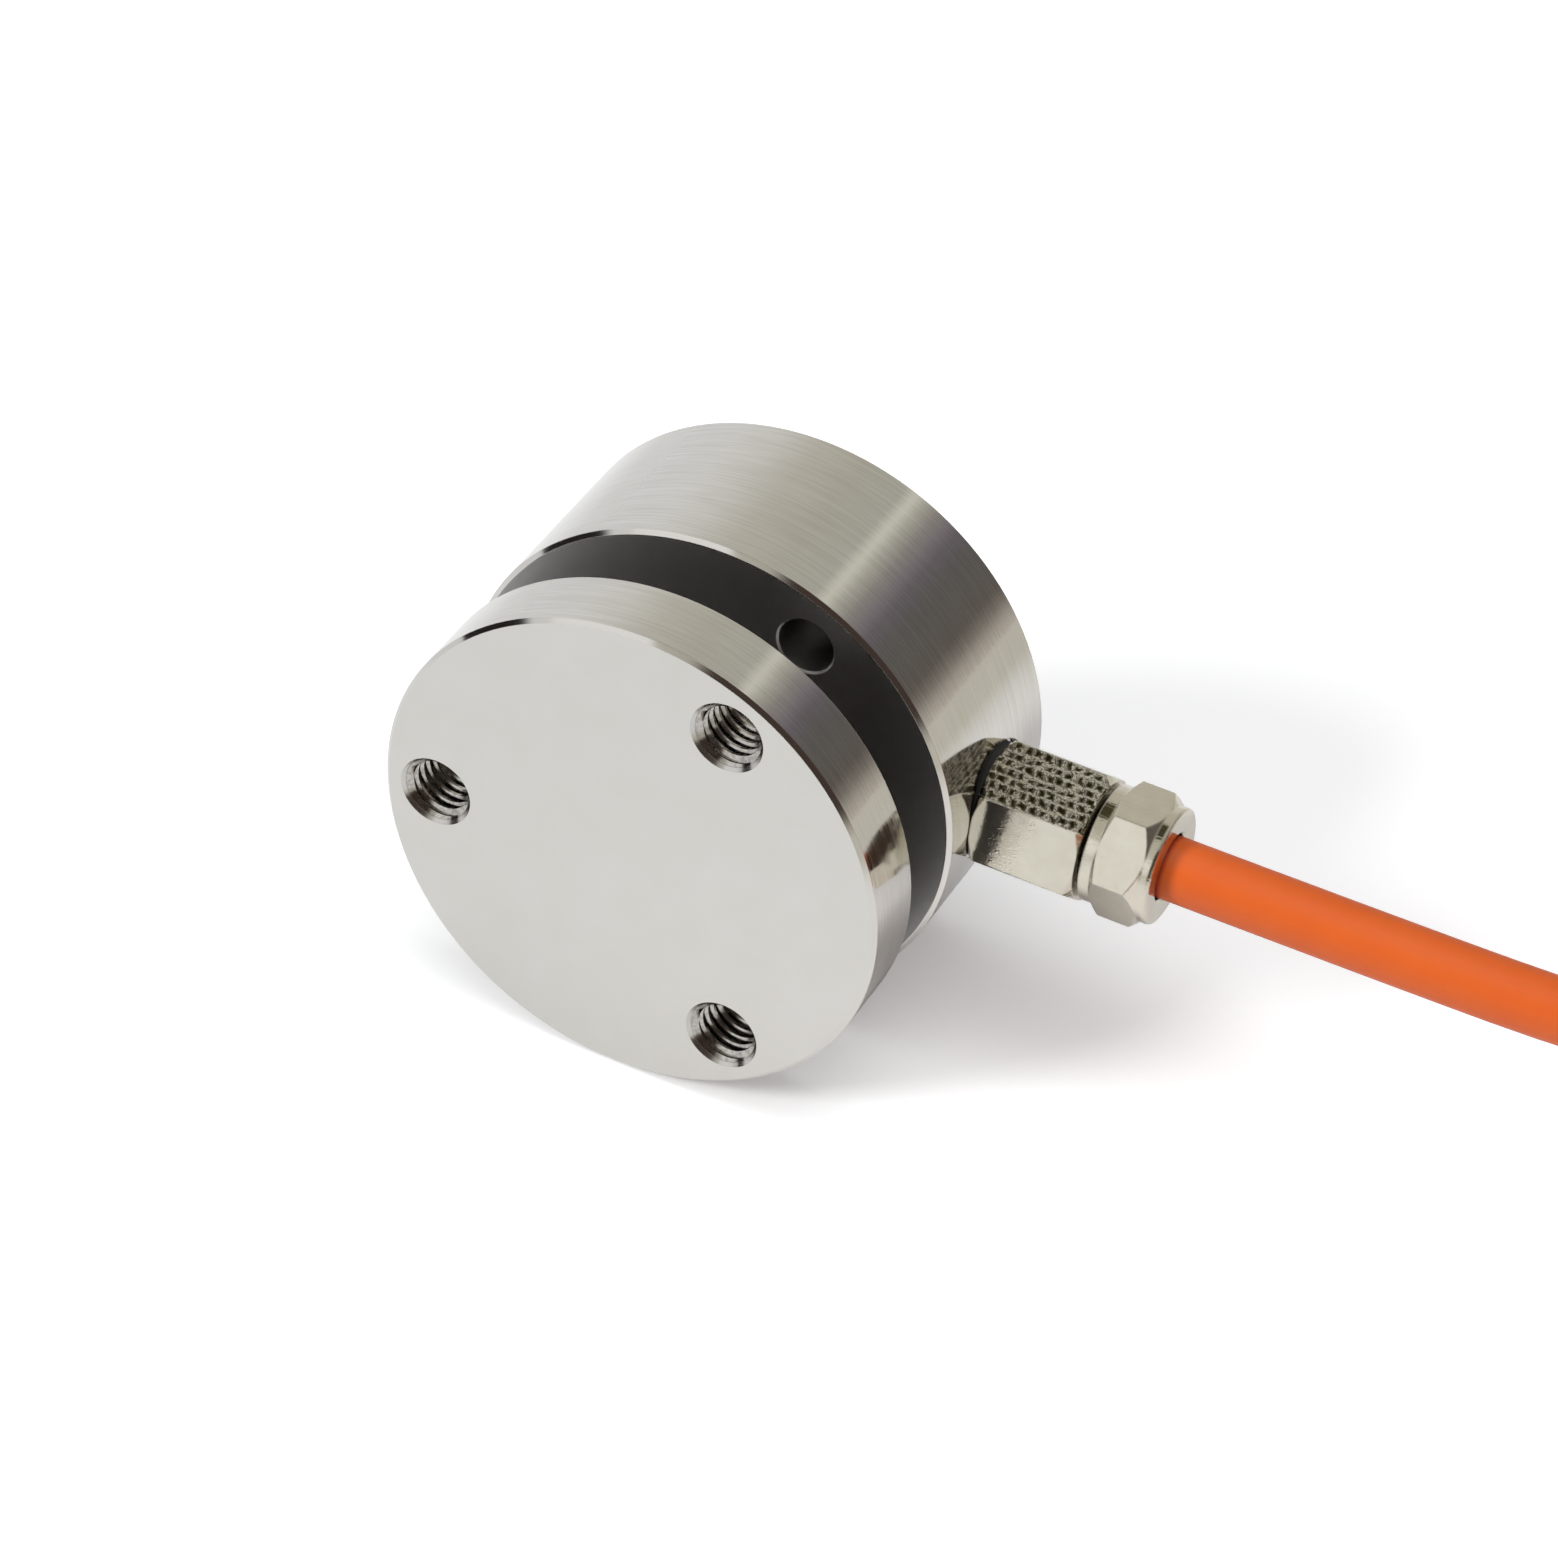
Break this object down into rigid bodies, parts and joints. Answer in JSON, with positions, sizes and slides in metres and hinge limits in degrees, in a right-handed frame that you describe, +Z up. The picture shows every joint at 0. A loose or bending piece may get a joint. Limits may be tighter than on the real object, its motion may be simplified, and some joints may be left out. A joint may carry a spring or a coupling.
{
  "type": "inline load cell",
  "caption": "Round inline load cell: two flanges joined by a neck, tapped holes through them, and a cable with a threaded gland on the rear flange.",
  "frame": {"origin": "centre of the front flange's outer face, on the load axis", "axes": "+Y along the load axis into the part, +X along the cable gland, +Z up as it lies on its round side"},
  "size_m": [0.1618, 0.0677, 0.038],
  "materials": {
    "turned_steel": "finely turned and polished stainless steel",
    "nickel_brass": "nickel-plated brass",
    "black_rubber": "matt black rubber",
    "white_plastic": "natural nylon",
    "orange_jacket": "smooth orange cable jacket with a soft sheen",
    "black_sleeve": "black shrink sleeve",
    "tinned_copper": "tinned copper",
    "circuit_board": "green solder mask",
    "resistor_body": "black glazed ceramic",
    "gauge_foil": "amber polyimide film",
    "red_core": "red core insulation",
    "black_core": "black core insulation",
    "green_core": "green core insulation",
    "white_core": "white core insulation"
  },
  "bodies": {
    "root": {"balance_resistors": "resistor_body", "cable": "orange_jacket", "cable_coil": "orange_jacket", "cable_entry": "orange_jacket", "clamp_washer": "white_plastic", "coil_tie_1": "white_plastic", "coil_tie_2": "white_plastic", "core_black": "black_core", "core_green": "green_core", "core_red": "red_core", "core_white": "white_core", "drain_wire": "tinned_copper", "end_shield": "tinned_copper", "end_sleeve": "black_sleeve", "gauge_leads": "tinned_copper", "gland_body": "nickel_brass", "gland_gasket": "black_rubber", "gland_nut": "nickel_brass", "lead_black": "black_core", "lead_green": "green_core", "lead_red": "red_core", "lead_tips": "tinned_copper", "lead_white": "white_core", "rear_cover": "turned_steel", "seal_insert": "black_rubber", "spring_element": "turned_steel", "strain_gauge_1": "gauge_foil", "strain_gauge_2": "gauge_foil", "strain_gauge_3": "gauge_foil", "strain_gauge_4": "gauge_foil", "terminal_board": "circuit_board"}
  },
  "joints": []
}
